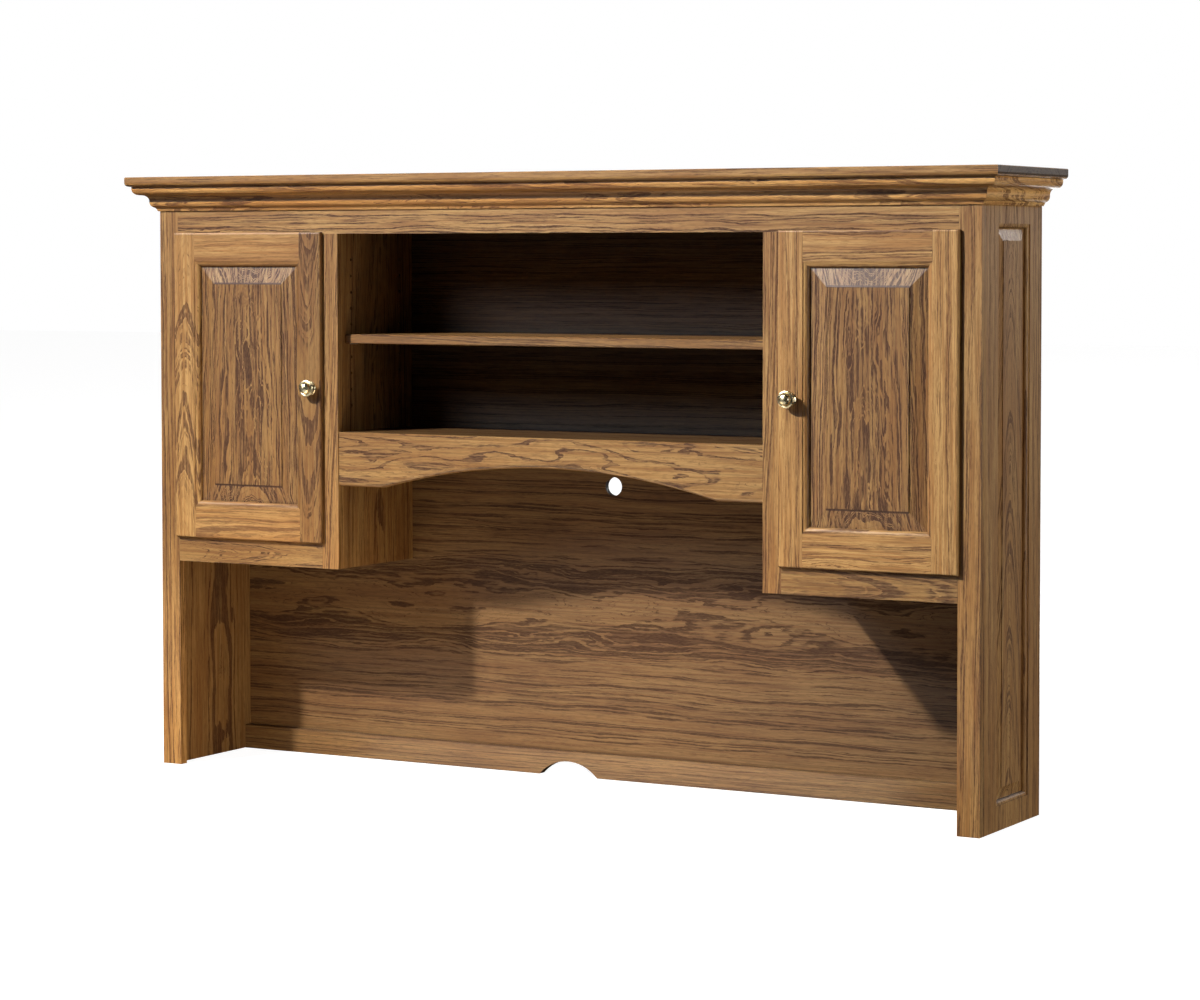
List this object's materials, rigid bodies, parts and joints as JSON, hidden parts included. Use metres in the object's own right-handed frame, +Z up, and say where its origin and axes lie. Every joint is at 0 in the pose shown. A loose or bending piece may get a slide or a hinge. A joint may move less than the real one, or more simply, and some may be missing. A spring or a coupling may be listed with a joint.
{
  "type": "desk hutch",
  "caption": "Wooden desk hutch: an open shelf bay between two cupboards with raised-panel doors, under a crown moulding, standing on panelled ends.",
  "frame": {"origin": "middle of the footprint, on the surface that the hutch stands on", "axes": "+X to the right along the width, -Y to the front, +Z up"},
  "size_m": [1.902, 0.331, 1.192],
  "materials": {
    "oak": "golden oak stain, satin lacquer",
    "oak_panel": "golden oak stain, satin lacquer",
    "oak_plywood": "oak veneer, stained, satin lacquer",
    "brass": "polished",
    "steel": "plated"
  },
  "bodies": {
    "carcass": {"arched_valance": "oak", "back_panel": "oak_plywood", "back_rail": "oak", "bay_floor": "oak_plywood", "crown_front": "oak", "crown_left": "oak", "crown_right": "oak", "face_left_bottom_rail": "oak", "face_left_inner_stile": "oak", "face_left_stile": "oak", "face_right_bottom_rail": "oak", "face_right_inner_stile": "oak", "face_right_stile": "oak", "face_top_rail": "oak", "left_cupboard_floor": "oak_plywood", "left_cupboard_shelf": "oak_plywood", "left_door_lower_hinge_clip": "steel", "left_door_upper_hinge_clip": "steel", "left_end_back_stile": "oak", "left_end_bottom_rail": "oak", "left_end_front_stile": "oak", "left_end_liner": "oak_plywood", "left_end_panel": "oak_panel", "left_end_top_rail": "oak", "left_partition": "oak_plywood", "right_cupboard_floor": "oak_plywood", "right_cupboard_shelf": "oak_plywood", "right_door_lower_hinge_clip": "steel", "right_door_upper_hinge_clip": "steel", "right_end_back_stile": "oak", "right_end_bottom_rail": "oak", "right_end_front_stile": "oak", "right_end_liner": "oak_plywood", "right_end_panel": "oak_panel", "right_end_top_rail": "oak", "right_partition": "oak_plywood", "shelf_support_left_back": "steel", "shelf_support_left_front": "steel", "shelf_support_right_back": "steel", "shelf_support_right_front": "steel", "sub_top": "oak_plywood", "top_board": "oak"},
    "left_door": {"left_door_bottom_rail": "oak", "left_door_hinge_stile": "oak", "left_door_knob": "brass", "left_door_latch_stile": "oak", "left_door_lower_hinge_cup": "steel", "left_door_panel": "oak_panel", "left_door_top_rail": "oak", "left_door_upper_hinge_cup": "steel"},
    "right_door": {"right_door_bottom_rail": "oak", "right_door_hinge_stile": "oak", "right_door_knob": "brass", "right_door_latch_stile": "oak", "right_door_lower_hinge_cup": "steel", "right_door_panel": "oak_panel", "right_door_top_rail": "oak", "right_door_upper_hinge_cup": "steel"},
    "adjustable_shelf": {"adjustable_shelf": "oak"}
  },
  "joints": [
    {"name": "left_door_swing", "type": "hinge", "parent": "carcass", "child": "left_door", "pos_m": [-0.857, -0.1195, 0.773], "axis": [0, 0, -1], "range_deg": [0, 105]},
    {"name": "right_door_swing", "type": "hinge", "parent": "carcass", "child": "right_door", "pos_m": [0.857, -0.1195, 0.773], "axis": [0, 0, 1], "range_deg": [0, 105]},
    {"name": "shelf_lift", "type": "slide", "parent": "carcass", "child": "adjustable_shelf", "axis": [0, 0, 1], "range_m": [0, 0.16]}
  ]
}
